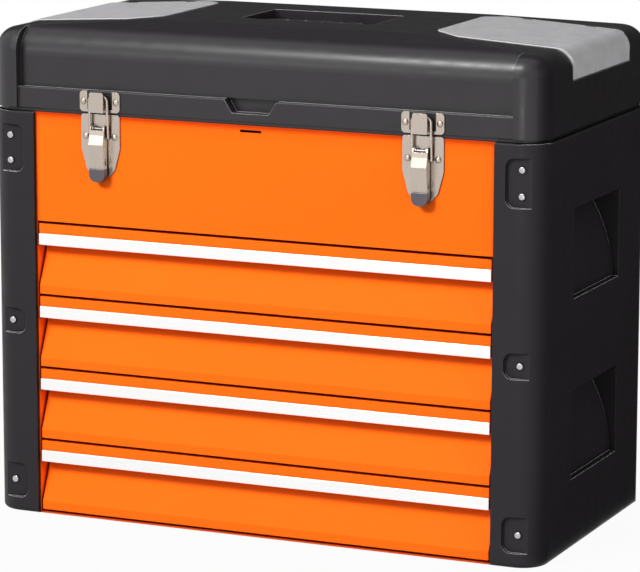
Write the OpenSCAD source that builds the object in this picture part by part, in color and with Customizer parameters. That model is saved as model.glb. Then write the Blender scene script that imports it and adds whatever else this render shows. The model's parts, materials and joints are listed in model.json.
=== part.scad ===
// Portable tool box: a sheet-steel cabinet with four drawers and an upper bin between two moulded
// end shells, closed by a moulded lid with two small-parts wells, a fold-flat handle and two
// draw latches. Lengths in millimetres. X runs along the box, -Y is the front, Z is up.
// The origin is on the ground, under the middle of the cabinet.

/* [Overall] */
// Width over the end shells
box_w = 520; // [460:1:600]
// Depth of the steel cabinet, front face to back face
case_d = 267; // [250:1:310]
// Height of the cabinet and the end shells
case_h = 362; // [350:1:400]
// Thickness of the cabinet sheet
sheet_t = 1.2; // [0.8:0.1:1.5]

/* [End shells] */
// Width of one end shell, seen from the front
shell_w = 44; // [40:1:55]
// How far the end shells stand proud of the cabinet front
shell_proud = 4; // [1:0.5:6]
// How far the end shells stand proud of the cabinet back
back_proud = 1.5; // [1:0.5:3]
// Radius of the upright outer corners
corner_r = 24; // [20:1:28]
// Radius of the lower outer edges
foot_r = 4; // [2:0.5:8]
// Radius of the lower rear edge
heel_r = 12; // [8:1:18]
// Wall of the mouldings
wall = 3.5; // [2.5:0.5:4]
// Depth of the screw pockets
pocket_depth = 3.5; // [2:0.5:4.5]
// Radius of the screw pockets' corners
pocket_r = 8; // [4:1:9]
// Distance from the cabinet side to a screw pocket
pocket_inset = 10; // [8:1:12]
// Radius of a shell screw's head
screw_r = 3.5; // [2.5:0.5:4]
// Depth of the side grips under their upper edge
grip_depth = 29; // [20:1:32]
// Depth of the side grips at their lower edge
grip_lip = 6; // [4:1:10]
// Length of the side grips
grip_l = 115; // [90:1:130]
// Distance from the cabinet front to the side grips
grip_start = 73; // [60:1:78]
// Heights of the side grips
grip_h = 78; // [60:1:84]

/* [Drawers] */
// Height of the fixed panel over the drawers
bin_panel_h = 96.9; // [80:0.1:110]
// Gap under the lowest drawer front
floor_gap = 2.2; // [0.5:0.1:4]
// Gap between two drawer fronts
seam = 2.4; // [1:0.1:3]
// Gap between a drawer front and the cabinet side
jamb_gap = 1.5; // [0.6:0.1:2]
// Plain band of a drawer front above its pull strip
band_h = 8.6; // [7:0.1:14]
// Height of the pull strip
pull_h = 9.4; // [8:0.1:14]
// Thickness of the pull strip
pull_t = 1.2; // [1:0.1:2.4]
// Depth of the finger recess under the pull strip
finger_depth = 16; // [12:1:18]
// Upright lip at the foot of a drawer front
lip_h = 7.6; // [5:0.1:10]
// Height of a drawer pan's side walls
pan_h = 46; // [30:1:50]
// Room for the slides on each side of a pan
slide_room = 12; // [10:0.5:16]
// Height of a cabinet runner
runner_h = 16; // [14:1:20]
// Length of the runners and rails
slide_l = 234; // [200:1:236]
// Free play of a rail in its runner
slide_play = 0.3; // [0.3:0.1:0.6]
// Room behind the drawer pans
pan_back_gap = 8; // [5:1:20]

/* [Lid] */
// Height of the shadow gap between the cabinet and the lid
lid_gap = 3; // [2:0.1:5]
// Height of the flange along the lid's front
flange_h = 18.5; // [17:0.1:24]
// How far the flange stands proud of the cabinet front
flange_proud = 1; // [0.5:0.1:2]
// How far the lid's front panel lies behind its corner pillars
panel_inset = 8.5; // [4:0.5:12]
// Width of the lid's corner pillars
pillar_w = 28; // [24:1:34]
// Height of the lid over the cabinet at its rounded outer edges
rim_h = 72.4; // [66:0.1:90]
// Extra height of the middle of the lid
crown_h = 6.8; // [4:0.1:9]
// Radius of the lid's front shoulder, between its pillars
shoulder_r = 26; // [16:1:30]
// Radius of the lid's upper outer edges
side_r = 19; // [10:1:20]
// Play between the lid and what it rests on
rest_gap = 0.3; // [0.3:0.1:0.6]
// Middle of the finger notch, sideways from the middle of the lid
notch_x = -8; // [-30:1:30]
// Width of the finger notch at its floor
notch_w = 34; // [24:1:50]
// Depth of the finger notch
notch_h = 11.5; // [8:0.5:14]

/* [Organizer covers] */
// Thickness of a cover
cover_t = 2.5; // [2:0.1:3.5]
// Distance from the middle of the lid to a cover
cover_x = 129; // [120:0.5:160]
// Distance from the cabinet front to a cover
cover_y = 63; // [56:1:80]
// Length of a cover, front to back
cover_l = 148; // [130:1:150]
// How far a cover hangs down the lid's side
cover_drop = 27; // [20:1:34]
// Depth of a parts well under its cover
well_depth = 31; // [20:1:34]
// How far a cover stands over the lid
cover_rise = 0.6; // [0:0.1:1]
// Play round a cover
cover_play = 0.4; // [0.3:0.1:0.6]

/* [Handle] */
// Width of the handle recess
recess_w = 126; // [110:1:150]
// Depth of the handle recess, front to back
recess_l = 73; // [68:1:84]
// Depth of the handle recess under the crown
recess_h = 28; // [26:1:32]
// Length of the handle's arms
arm_l = 41; // [38:1:44]
// Thickness of the grip, front to back
grip_bar_w = 15; // [12:1:16]
// Height of the grip
grip_bar_h = 12; // [10:1:14]
// Distance between the grip's finger pads
pad_pitch = 17.3; // [15:0.1:18]

/* [Latches] */
// Distance of a latch from the side of the cabinet
latch_inset = 64.7; // [40:0.1:100]
// Width of a latch's base plate
latch_w = 37.4; // [36:0.1:44]
// Width of a latch's lever
lever_w = 14; // [13.6:0.1:16]
// Thickness of the latch sheet
latch_t = 1.2; // [1:0.1:1.3]
// Radius of the loop's wire
wire_r = 1.2; // [1:0.1:1.3]
// Radius of the rivet heads
rivet_r = 2.9; // [2.5:0.1:3.2]

/* [Hinges] */
// Distance of a hinge from the side of the cabinet
hinge_inset = 66; // [45:1:100]
// Width of a hinge
hinge_w = 63; // [48:3:90]
// Radius of a hinge's barrel
barrel_r = 3; // [2.5:0.1:3.2]
// Radius of a hinge pin
hinge_pin_r = 1.5; // [1:0.1:1.8]

/* [Hidden] */
$fn = 64;
DRAWERS = [1, 2, 3, 4];

ORANGE = [1, 0.46, 0.11];
CHARCOAL = [0.26, 0.25, 0.26];
STEEL = [0.75, 0.71, 0.66];
ZINC = [0.7, 0.7, 0.7];
BRIGHT = [0.95, 0.95, 0.94];
FROSTED = [0.66, 0.65, 0.66];
BLACK = [0.2, 0.21, 0.22];

eps = 0.01;
past = 20;                                  // how far a cut runs past the surface it opens
skim = 0.02;                                // by which one rounding starts outside another
front_y = -case_d/2;                        // the cabinet's front face
cab_w = box_w - 2*shell_w;                  // width of the steel cabinet
inner_x = cab_w/2 - sheet_t;                // inside of the cabinet sides
latch_x = cab_w/2 - latch_inset;
hinge_x = cab_w/2 - hinge_inset;
bin_z = case_h - bin_panel_h;               // underside of the fixed front panel
drawer_z0 = sheet_t + floor_gap;                  // foot of the lowest drawer front
drawer_pitch = (bin_z - drawer_z0)/len(DRAWERS);
front_h = drawer_pitch - seam;              // height of one drawer front
front_half = inner_x - jamb_gap;
pull_z = front_h - band_h - pull_h;         // foot of the pull strip on a drawer front
pan_y = finger_depth + 2;                   // front of a drawer pan, from the cabinet front
pan_half = inner_x - slide_room;
pan_t = 1;
pan_l = case_d - sheet_t - pan_back_gap - pan_y;
rail_z = 30;                                // middle of the slides over the foot of a drawer
rail_t = 1.2;
lid_z = case_h + lid_gap;                   // underside of the lid
rim_z = case_h + rim_h;
crown_z = rim_z + crown_h;
edge_z = rim_z - side_r;                    // where the lid's upper edges start to round
lid_back = case_d + back_proud;

// ---------- helpers ----------

function unit(v) = v/norm(v);
function side_normal(a, b) = [a.y - b.y, b.x - a.x]/norm(b - a);

// Place of point i of a bent sheet's other face, t to the left of the path (right if negative)
function mitre(path, t, i) =
    let (last = len(path) - 1,
         n1 = side_normal(path[max(i - 1, 0)], path[max(i - 1, 0) + 1]),
         n2 = side_normal(path[min(i, last - 1)], path[min(i, last - 1) + 1]))
    path[i] + (n1 + n2)/(1 + n1*n2)*t;

// Section of a sheet bent along a path
module bent_sheet(path, t) {
    other = [for (i = [len(path) - 1:-1:0]) mitre(path, t, i)];
    polygon(concat(path, other));
}

// A polygon, points counter-clockwise, whose corner i is rounded to radii[i]
module blend(points, radii) {
    n = len(points);
    difference() {
        union() {
            polygon(points);
            for (i = [0:n - 1]) blend_corner(points, radii, i, -1);
        }
        for (i = [0:n - 1]) blend_corner(points, radii, i, 1);
    }
}

// What the rounding of corner i takes off (side 1) or adds (side -1)
module blend_corner(points, radii, i, side) {
    n = len(points);
    p = points[i];
    a = unit(points[(i + n - 1)%n] - p);
    b = unit(points[(i + 1)%n] - p);
    turn = a.y*b.x - a.x*b.y;
    if (radii[i] > 0 && turn*side > 0) {
        half = acos(a*b)/2;
        centre = p + unit(a + b)*radii[i]/sin(half);
        reach = radii[i]/tan(half);
        beyond = p + (p - centre)*0.05;
        difference() {
            polygon([beyond, p + a*reach, centre, p + b*reach]);
            translate(centre) circle(radii[i]);
        }
    }
}

// Extrude a Y-Z section from x0 to x1
module along_x(x0, x1)
    translate([x0, 0, 0]) rotate([90, 0, 90]) linear_extrude(x1 - x0) children();

// Extrude an X-Z section from y0 to y1
module along_y(y0, y1)
    translate([0, y1, 0]) rotate([90, 0, 0]) linear_extrude(y1 - y0) children();

// Places its children with Y counted from the cabinet front
module from_front() translate([0, front_y, 0]) children();

module both_sides() {
    children();
    mirror([1, 0, 0]) children();
}

// A domed head on the plane z = 0
module dome(r, h) {
    ball_r = (r*r + h*h)/(2*h);
    intersection() {
        translate([0, 0, h - ball_r]) sphere(ball_r);
        cylinder(r = r + 1, h = h + 1);
    }
}

// A domed head whose back is at y, facing the front
module front_dome(x, y, z, r, h)
    translate([x, y, z]) rotate([90, 0, 0]) dome(r, h);

// What a rounding of radius r, swept round an upright corner of radius corner, takes off a square
// one. The corner's axis is the Z axis, the rounding starts at z = 0 and ends in a slope.
module swept_corner(corner, r, slope) {
    flat = corner - r + r*sin(slope);
    top = r*cos(slope);
    difference() {
        cube([corner + 1, corner + 1, r + past]);
        rotate_extrude() intersection() {
            square([corner + 2, r + 2*past]);
            union() {
                translate([corner - r, 0]) circle(r);
                polygon([[0, 0], [corner - r, 0], [flat, top], [0, top + flat*tan(slope)]]);
            }
        }
    }
}

// ---------- cabinet ----------

rim_in = 14;                                // depth of the sheet's folded rims

module cabinet_case()
    color(ORANGE) from_front() {
        difference() {
            translate([-cab_w/2, 0, 0]) cube([cab_w, case_d, case_h]);
            translate([-inner_x, -past, sheet_t])
                cube([2*inner_x, case_d - sheet_t + past, case_h]);
        }
        // rim folded inwards along the top of the back
        translate([-inner_x, case_d - rim_in, case_h - sheet_t])
            cube([2*inner_x, rim_in - sheet_t/2, sheet_t]);
    }

catch_w = 20;                               // slot for a padlock tab, under the notch
catch_h = 2.2;
catch_drop = 4;

module front_panel()
    color(ORANGE) from_front() difference() {
        along_x(-inner_x, inner_x)
            bent_sheet([[rim_in, bin_z], [0, bin_z], [0, case_h], [rim_in, case_h]], -sheet_t);
        translate([notch_x - catch_w/2, -past, case_h - catch_drop - catch_h])
            cube([catch_w, past + rim_in/2, catch_h]);
    }

module bin_floor()
    color(ORANGE) from_front()
        translate([-inner_x, sheet_t, bin_z + sheet_t])
            cube([2*inner_x, case_d - 2*sheet_t, sheet_t]);

// ---------- end shells ----------

// The moulding's outside, moved in by d; front and back faces move in by dy
module shell_form(d, dy) {
    x0 = cab_w/2 - (d > 0 ? past : 0);
    x1 = box_w/2 - d;
    y0 = -shell_proud + dy;
    y1 = lid_back - dy;
    z1 = case_h - d;
    difference() {
        intersection() {
            translate([0, 0, d]) linear_extrude(z1 - d)
                blend([[x0, y0], [x1, y0], [x1, y1], [x0, y1]], [0, corner_r - d, corner_r - d, 0]);
            along_y(y0 - 1, y1 + 1)
                blend([[x0 - 1, d], [x1, d], [x1, z1], [x0 - 1, z1]], [0, foot_r - d, 2, 0]);
            along_x(x0 - 2, x1 + 2)
                blend([[y0, d], [y1, d], [y1, z1], [y0, z1]], [foot_r - d, heel_r - d, 1.5, 1.5]);
        }
        if (d == 0) translate([box_w/2 - corner_r, corner_r - shell_proud, foot_r])
            mirror([0, 0, 1]) mirror([0, 1, 0]) swept_corner(corner_r, foot_r, 0);
    }
}

top_pocket = [case_h - 54, case_h - 12];    // heights of the screw pockets
mid_pocket = [163, 185.5];
low_pocket = [13, 44.5];
POCKETS = [top_pocket, mid_pocket, low_pocket];
screw_x = cab_w/2 + 24;
screw_pair = 11.2;                          // half the distance between the two upper screws
top_pocket_mid = (top_pocket[0] + top_pocket[1])/2;
SCREW_Z = [top_pocket_mid - screw_pair, top_pocket_mid + screw_pair,
           (mid_pocket[0] + mid_pocket[1])/2, (low_pocket[0] + low_pocket[1])/2];
thick_face = wall + pocket_depth;           // wall behind the screw pockets

// Pocket outline in X-Z, open past the rounded corner
module pocket_outline(span)
    blend([[cab_w/2 + pocket_inset, span[0]], [box_w/2 + past, span[0]],
           [box_w/2 + past, span[1]], [cab_w/2 + pocket_inset, span[1]]], [pocket_r, 0, 0, pocket_r]);

upper_grip_z = 220;
lower_grip_z = 62;
GRIPS = [upper_grip_z, lower_grip_z];

// Hollow of a side grip with its foot at z, grown by g: deep under its upper edge, and closed
// towards the foot by a rounded palm rest
module grip_hollow(z, g) {
    run = grip_depth - grip_lip;
    palm_r = (run*run + grip_h*grip_h)/(2*run)*0.9;
    x1 = box_w/2;
    difference() {
        translate([x1 - grip_depth - g, grip_start - g, z - g])
            cube([grip_depth + g + (g > 0 ? 0 : past), grip_l + 2*g, grip_h + 2*g]);
        along_y(grip_start - past, grip_start + grip_l + past)
            translate([x1 - grip_lip - g - palm_r, z]) circle(palm_r, $fn = 96);
    }
}

// The right-hand end shell
module end_shell() difference() {
    shell_form(0, 0);
    difference() {
        shell_form(wall, thick_face);
        for (z = GRIPS) grip_hollow(z, wall);
    }
    for (z = GRIPS) grip_hollow(z, 0);
    for (span = POCKETS) {
        along_y(-shell_proud - past, -shell_proud + pocket_depth) pocket_outline(span);
        along_y(lid_back - pocket_depth, lid_back + past) pocket_outline(span);
    }
}

module right_end_shell() color(CHARCOAL) from_front() end_shell();
module left_end_shell() color(CHARCOAL) from_front() mirror([1, 0, 0]) end_shell();

screw_head_h = 2.2;

module shell_screws()
    color(ZINC) from_front() both_sides() for (z = SCREW_Z) {
        front_dome(screw_x, -shell_proud + pocket_depth, z, screw_r, screw_head_h);
        translate([screw_x, lid_back - pocket_depth, z]) rotate([-90, 0, 0])
            dome(screw_r, screw_head_h);
    }

// ---------- drawers ----------

function drawer_z(i) = drawer_z0 + (len(DRAWERS) - i)*drawer_pitch;
runner_depth = slide_room - 2;
slide_y = case_d - sheet_t - pan_back_gap - slide_l;

module runners(i)
    color(ZINC) from_front() both_sides() {
        z = drawer_z(i) + rail_z;
        along_y(slide_y, slide_y + slide_l)
            bent_sheet([[inner_x - runner_depth, z - runner_h/2], [inner_x, z - runner_h/2],
                        [inner_x, z + runner_h/2], [inner_x - runner_depth, z + runner_h/2]], rail_t);
    }

module drawer_rails(i)
    color(ZINC) from_front() both_sides() {
        z = drawer_z(i) + rail_z;
        half = runner_h/2 - rail_t - slide_play;
        x1 = inner_x - rail_t - slide_play;
        along_y(slide_y, slide_y + slide_l)
            bent_sheet([[x1, z - half], [pan_half, z - half], [pan_half, z + half], [x1, z + half]],
                       -rail_t);
    }

hem_w = 2;

module drawer_pan(i)
    color(ORANGE) from_front() translate([0, pan_y, drawer_z(i) + sheet_t]) {
        difference() {
            translate([-pan_half, 0, 0]) cube([2*pan_half, pan_l, pan_h]);
            translate([-pan_half + pan_t, pan_t, pan_t])
                cube([2*(pan_half - pan_t), pan_l - 2*pan_t, pan_h]);
        }
        // the front wall runs up to the drawer front's upper fold
        translate([-pan_half, 0, 0]) cube([2*pan_half, pan_t, front_h - 2*sheet_t]);
        // hem along the side walls
        both_sides() translate([pan_half - pan_t, 0, pan_h - pan_t]) cube([hem_w + pan_t, pan_l, pan_t]);
    }

floor_fold = 30;                            // fold that carries the front of the pan

module drawer_front(i) {
    outline = [[0, 0], [0, lip_h], [finger_depth, pull_z], [0, pull_z], [0, front_h]];
    color(ORANGE) from_front() translate([0, 0, drawer_z(i)]) {
        along_x(-front_half, front_half)
            bent_sheet(concat([[floor_fold, 0]], outline, [[pan_y + pan_t, front_h]]), -sheet_t);
        // folded ends
        both_sides() along_x(front_half - sheet_t, front_half)
            polygon(concat(outline, [[pan_y, front_h], [pan_y, 0]]));
    }
}

pull_lip = 7;                               // how far the strip turns in under the band
pull_lip_t = 1.2;

module drawer_pull(i)
    color(BRIGHT) from_front() translate([0, 0, drawer_z(i) + pull_z])
        along_x(-front_half, front_half)
            blend([[-pull_t, -pull_lip_t], [pull_lip, -pull_lip_t], [pull_lip, 0], [0, 0],
                   [0, pull_h], [-pull_t, pull_h]], [1, 0.4, 0, 0, 0, 0.8]);

// ---------- lid ----------

lip_t = 3;
well_wall = 3;
rim_chamfer_x = 27;                         // inner front corner of a cover
rim_chamfer_y = 21;
rear_chamfer = 19;                          // inner rear corner of a cover
cover_z = crown_z + cover_rise;             // top of a cover at its inner side
cover_foot_z = rim_z + cover_rise - cover_drop;
cover_top_r = 15;                           // roll of a cover over the lid's side edge
crown_margin = 4;                           // flat part of the crown before and behind the covers
front_run = cover_y - crown_margin;         // depths of the front and rear slopes of the lid
rear_run = lid_back - cover_y - cover_l - crown_margin;

// Slope from the crown to an outer edge that is run away from it
function crown_slope(run) =
    let (c = [run - side_r, crown_z - edge_z]) atan2(c.y, c.x) - asin(side_r/norm(c));

side_slope = crown_slope(box_w/2 - cover_x);
front_slope = crown_slope(front_run + shell_proud);
rear_slope = crown_slope(rear_run);

// Height of the lid's top at x, beside the crown
function top_z(x) = crown_z - (x - cover_x)*tan(side_slope);

// Plan of the lid, moved in by d
module lid_plan(d) {
    x = box_w/2 - d;
    y0 = -shell_proud + d;
    y1 = lid_back - d;
    r = corner_r - d;
    blend([[-x, y0], [x, y0], [x, y1], [-x, y1]], [r, r, r, r]);
}

// Front view of the lid, moved in by d
module lid_front_view(d) {
    x = box_w/2 - d + skim;
    crown_x = cover_x - d*tan(side_slope/2);
    side_z = top_z(x) - d/cos(side_slope);
    z0 = d > 0 ? lid_z - past : lid_z;
    foot = d > 0 ? 0 : 1.5;
    blend([[-x, z0], [x, z0], [x, side_z], [crown_x, crown_z - d], [-crown_x, crown_z - d],
           [-x, side_z]], [foot, foot, side_r - d, 0, 0, side_r - d]);
}

// Side view of the lid, with its front face at y0 and its front shoulder of radius r
module lid_side_view(y0, r, d) {
    z0 = d > 0 ? lid_z - past : lid_z;
    back = lid_back - d + skim;
    foot = d > 0 ? 0 : 1;
    blend([[y0, z0], [back, z0],
           [back, crown_z - (rear_run - d)*tan(rear_slope) - d/cos(rear_slope)],
           [lid_back - rear_run - d*tan(rear_slope/2), crown_z - d],
           [front_run + d*tan(front_slope/2), crown_z - d],
           [y0, crown_z - (front_run - y0)*tan(front_slope) - d/cos(front_slope)]],
          [foot, foot, side_r - d, 0, 0, r - d]);
}

// What the upper edges' rounding takes off the four upright corners, moved in by d
module lid_corner_cuts(d) both_sides() {
    translate([box_w/2 - corner_r, corner_r - shell_proud, edge_z + skim])
        mirror([0, 1, 0]) swept_corner(corner_r - d + 2*skim, side_r - d, front_slope);
    translate([box_w/2 - corner_r, lid_back - corner_r, edge_z + skim])
        swept_corner(corner_r - d + 2*skim, side_r - d, rear_slope);
}

panel_y = -shell_proud + panel_inset;       // front panel of the lid

module lid_form() difference() {
    intersection() {
        translate([0, 0, lid_z]) linear_extrude(rim_h*2) lid_plan(0);
        along_y(-past, lid_back + past) lid_front_view(0);
        union() {
            along_x(-box_w/2 - 1, box_w/2 + 1) lid_side_view(panel_y, shoulder_r, 0);
            both_sides() along_x(box_w/2 - pillar_w, box_w/2 + 1)
                lid_side_view(-shell_proud - skim, side_r, 0);
            // flange along the front
            along_x(-box_w/2 + pillar_w - 1, box_w/2 - pillar_w + 1)
                blend([[-flange_proud, lid_z], [panel_y + 1, lid_z], [panel_y + 1, lid_z + flange_h],
                       [-flange_proud, lid_z + flange_h]], [0.8, 0, 0, 0.8]);
        }
    }
    lid_corner_cuts(0);
}

module lid_hollow() difference() {
    intersection() {
        translate([0, 0, lid_z - past]) linear_extrude(rim_h*2) lid_plan(wall);
        along_y(-past, lid_back + past) lid_front_view(wall);
        along_x(-box_w/2, box_w/2) lid_side_view(panel_y + wall, shoulder_r, wall);
    }
    lid_corner_cuts(wall);
}

// Plan of a cover, grown by g
module cover_plan(g) {
    x0 = cover_x - g;
    x1 = box_w/2 + (g > 0 ? past : 0);
    y0 = cover_y - g;
    y1 = cover_y + cover_l + g;
    blend([[x0 + rim_chamfer_x, y0], [x1, y0], [x1, y1], [x0 + rear_chamfer, y1],
           [x0, y1 - rear_chamfer], [x0, y0 + rim_chamfer_y]], [8, g > 0 ? 0 : 0.5, 0.5, 8, 8, 8]);
}

// Plan of a parts well: the cover's plan moved in by a ledge, inside the lid's side wall
ledge = 5;
hinge_ledge = 4;                            // extra ledge in front of a cover's hinge
well_x1 = box_w/2 - cover_t - cover_play - well_wall;

module well_plan(g) {
    x0 = cover_x + ledge - g;
    x1 = well_x1 + g;
    y0 = cover_y + ledge - g;
    y1 = cover_y + cover_l - ledge - hinge_ledge + g;
    blend([[x0 + rim_chamfer_x, y0], [x1, y0], [x1, y1], [x0 + rear_chamfer, y1],
           [x0, y1 - rear_chamfer], [x0, y0 + rim_chamfer_y]], [8, 6, 6, 8, 8, 8]);
}

well_z = top_z(box_w/2) + cover_rise - cover_t - well_depth;    // floor of a parts well
divider_t = 2;
divider_drop = 6;
well_mid = cover_y + (cover_l - hinge_ledge)/2;

// Front view of a cover between its top moved down by drop, its side moved in by drop_x and foot
module cover_view(drop, drop_x, foot, grow) {
    x0 = cover_x - 1;
    x1 = box_w/2 - drop_x;
    x2 = box_w/2 + grow;
    r = grow > 0 ? 0 : cover_top_r;
    function side(x, rise) = top_z(x) + cover_rise + rise;
    blend([[x0, side(x0, -drop)], [x1, side(x1, -drop)], [x1, foot], [x2, foot],
           [x2, side(x2, grow)], [x0, side(x0, grow)]],
          [0, cover_top_r - cover_t, 0.5, grow > 0 ? 0 : 0.8, r, 0]);
}

// Room for a cover and its roll over the side edge
module cover_seat() intersection() {
    translate([0, 0, cover_foot_z - past]) linear_extrude(rim_h) cover_plan(cover_play);
    along_y(0, case_d)
        cover_view(cover_t + rest_gap, cover_t + cover_play, cover_foot_z - cover_play, past);
}

// Hinge of a cover: its rear edge is rolled into a barrel that turns on two lugs of the lid
cover_barrel_r = 2.75;
bead = 0.15;                                // how far the barrel stands over the cover
cover_pin_r = 1.2;
pin_fit = 0.05;                             // running fit of every pin in its bore
lug_w = 10;
lug_r = cover_barrel_r - 0.35;
lug_foot = 4.5;                             // how far a lug reaches down from its pin
pin_hold = 5.5;                             // length of pin held on each side of a lug
barrel_x0 = rear_chamfer + 3;               // ends of the barrel, from the inner side of a cover
barrel_x1 = box_w/2 - cover_x - cover_top_r - 7;
lug_inset = 14;
LUG_X = [barrel_x0 + lug_inset, barrel_x1 - lug_inset];
// ends of the groove that the barrel and the cover's rear corner turn in
hinge_x0 = rear_chamfer - 2*cover_barrel_r - 1;
hinge_x1 = box_w/2 - cover_x - 1;
groove_r = cover_barrel_r + cover_play + 0.15;
relief_h = 8;                               // the groove's rear side leans back, for the open cover
relief_lean = 14;

// Places its children on a cover's hinge, with X down the lid's slope and Z square to it
module at_cover_hinge()
    translate([cover_x, cover_y + cover_l - cover_barrel_r, cover_z]) rotate([0, side_slope, 0])
        translate([0, 0, bead - cover_barrel_r]) children();

module hinge_bar(x0, x1, r) translate([x0, 0, 0]) rotate([0, 90, 0]) cylinder(r = r, h = x1 - x0);

module cover_pin(x, r, extra)
    hinge_bar(x - lug_w/2 - pin_hold - extra, x + lug_w/2 + pin_hold + extra, r);

// Material round the groove
module hinge_bed()
    at_cover_hinge() translate([hinge_x0 - 6, -2*cover_barrel_r - 0.8, -groove_r - wall])
        cube([hinge_x1 - hinge_x0 + 4, 2*cover_barrel_r + groove_r + wall + 0.8,
              groove_r + wall + relief_h]);

module hinge_groove()
    at_cover_hinge() {
        hinge_bar(hinge_x0, hinge_x1, groove_r);
        along_x(hinge_x0, hinge_x1) {
            y0 = groove_r - 0.2;
            polygon([[0, -1], [y0, -1], [y0 + (relief_h + 1)*tan(relief_lean), relief_h],
                     [0, relief_h]]);
        }
    }

module hinge_lugs()
    at_cover_hinge() for (x = LUG_X) difference() {
        union() {
            hinge_bar(x - lug_w/2, x + lug_w/2, lug_r);
            translate([x - lug_w/2, -lug_r, -lug_foot]) cube([lug_w, 2*lug_r, lug_foot]);
        }
        cover_pin(x, cover_pin_r + pin_fit, 0);
    }

recess_y = lid_back/2 - recess_l/2 + 1;     // front wall of the handle recess
recess_z = crown_z - recess_h;
pivot_back = 9;                             // handle pivot, from the recess's rear wall
pivot_rise = 14;                            // and from its floor
pivot_y = recess_y + recess_l - pivot_back;
pivot_z = recess_z + pivot_rise;
handle_pin_r = 2.5;
arm_w = 9.7;
arm_r = 6.5;

recess_r = 6;
recess_rear_r = 2;

module recess_plan(g) {
    x = recess_w/2 + g;
    blend([[-x, recess_y - g], [x, recess_y - g], [x, recess_y + recess_l + g],
           [-x, recess_y + recess_l + g]], [recess_r, recess_r, recess_rear_r, recess_rear_r]);
}

module handle_pin(r, extra)
    translate([recess_w/2 - arm_w + 1, pivot_y, pivot_z]) rotate([0, 90, 0])
        cylinder(r = r, h = arm_w - 1 + well_wall + extra);

notch_slope = 8;                            // run of the notch's slanted ends
notch_in = 5;                               // how far the notch cuts into the panel
notch_over = 0.6;                           // and how far it rises over the flange

module finger_notch()
    translate([notch_x, 0, 0]) along_y(-past, panel_y + notch_in)
        polygon([[-notch_w/2, lid_z + flange_h - notch_h], [notch_w/2, lid_z + flange_h - notch_h],
                 [notch_w/2 + notch_slope, lid_z + flange_h + notch_over],
                 [-notch_w/2 - notch_slope, lid_z + flange_h + notch_over]]);

module lid_shell()
    color(CHARCOAL) from_front() union() {
        difference() {
            union() {
                difference() {
                    lid_form();
                    lid_hollow();
                }
                intersection() {
                    lid_form();
                    union() {
                        both_sides() {
                            translate([0, 0, well_z - well_wall]) linear_extrude(rim_h)
                                well_plan(well_wall);
                            cover_ledge();
                            hinge_bed();
                        }
                        translate([0, 0, recess_z - well_wall]) linear_extrude(rim_h)
                            recess_plan(well_wall);
                    }
                }
                // lip that carries the lid on the cabinet and the end shells
                translate([0, 0, case_h + rest_gap]) linear_extrude(lid_gap + 2*wall)
                    intersection() {
                        difference() {
                            lid_plan(wall - rest_gap);
                            lid_plan(wall + lip_t);
                        }
                        translate([-box_w/2, rest_gap]) square([box_w, case_d]);
                    }
                finger_notch_back();
            }
            both_sides() {
                cover_seat();
                parts_well();
                hinge_groove();
                handle_pin(handle_pin_r + pin_fit, 1);
            }
            translate([0, 0, recess_z]) linear_extrude(rim_h) recess_plan(0);
            finger_notch();
        }
        both_sides() hinge_lugs();
    }

// Material under a cover's edge, so that the seat has a floor
module cover_ledge() intersection() {
    translate([0, 0, well_z]) linear_extrude(rim_h) cover_plan(well_wall);
    along_y(cover_y - past, cover_y + cover_l + past) {
        x0 = cover_x - 2*well_wall;
        x1 = well_x1 + well_wall;
        drop = cover_rise - cover_t - rest_gap - well_wall;
        polygon([[x0, top_z(x0) + drop], [x1, top_z(x1) + drop], [x1, crown_z + past],
                 [x0, crown_z + past]]);
    }
}

// Wall behind the finger notch
module finger_notch_back()
    translate([notch_x - notch_w/2 - notch_slope - wall, panel_y, lid_z])
        cube([notch_w + 2*(notch_slope + wall), notch_in + wall, flange_h + wall]);

// Hollow of a parts well, parted by a low divider
module parts_well() difference() {
    translate([0, 0, well_z]) linear_extrude(rim_h) well_plan(0);
    translate([cover_x - 1, well_mid - divider_t/2, well_z - 1])
        cube([box_w/2, divider_t, well_depth + 1 - divider_drop]);
}

// The right-hand cover
cover_draft = 3;                            // its side flap narrows so that it swings clear

module cover() difference() {
    union() {
        difference() {
            intersection() {
                translate([0, 0, cover_foot_z - 1]) linear_extrude(rim_h) cover_plan(0);
                along_y(0, case_d) cover_view(cover_t, cover_t, cover_foot_z, 0);
            }
            at_cover_hinge() {
                // rounded rear edge beside the barrel, and none where the barrel is
                difference() {
                    translate([-past, 0, 0]) cube([box_w/2, past, past]);
                    hinge_bar(-2*past, box_w/2, cover_barrel_r - bead/2);
                }
                translate([barrel_x0 + 1, 0, -past]) cube([barrel_x1 - barrel_x0 - 2, past, 2*past]);
                translate([barrel_x1, 0, -2*past]) cube([box_w/2, past, 2*past]);
            }
        }
        at_cover_hinge() hinge_bar(barrel_x0, barrel_x1, cover_barrel_r);
    }
    at_cover_hinge() for (x = LUG_X) {
        translate([x - lug_w/2 - cover_play, -cover_barrel_r - 0.6, -lug_foot])
            cube([lug_w + 2*cover_play, past, 2*lug_foot]);
        cover_pin(x, cover_pin_r + pin_fit, 0.5);
    }
    along_x(box_w/2 - cover_top_r, box_w/2 + past)
        polygon([[cover_y - 1, cover_z], [cover_y - 1, cover_foot_z - 1],
                 [cover_y + cover_draft, cover_foot_z - 1], [cover_y, cover_z]]);
}

module organizer_cover_right() color(FROSTED) from_front() cover();
module organizer_cover_left() color(FROSTED) from_front() mirror([1, 0, 0]) cover();
module cover_pins()
    color(ZINC) from_front() both_sides() at_cover_hinge() for (x = LUG_X) cover_pin(x, cover_pin_r, 0);

// ---------- handle ----------

grip_y = pivot_y - arm_l;
PADS = 5;
pad_w = 12.5;
pad_h = 1.2;
pad_y0 = grip_y - grip_bar_w/2 + 1;
pad_y1 = grip_y + grip_bar_w/2 - 1;

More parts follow.
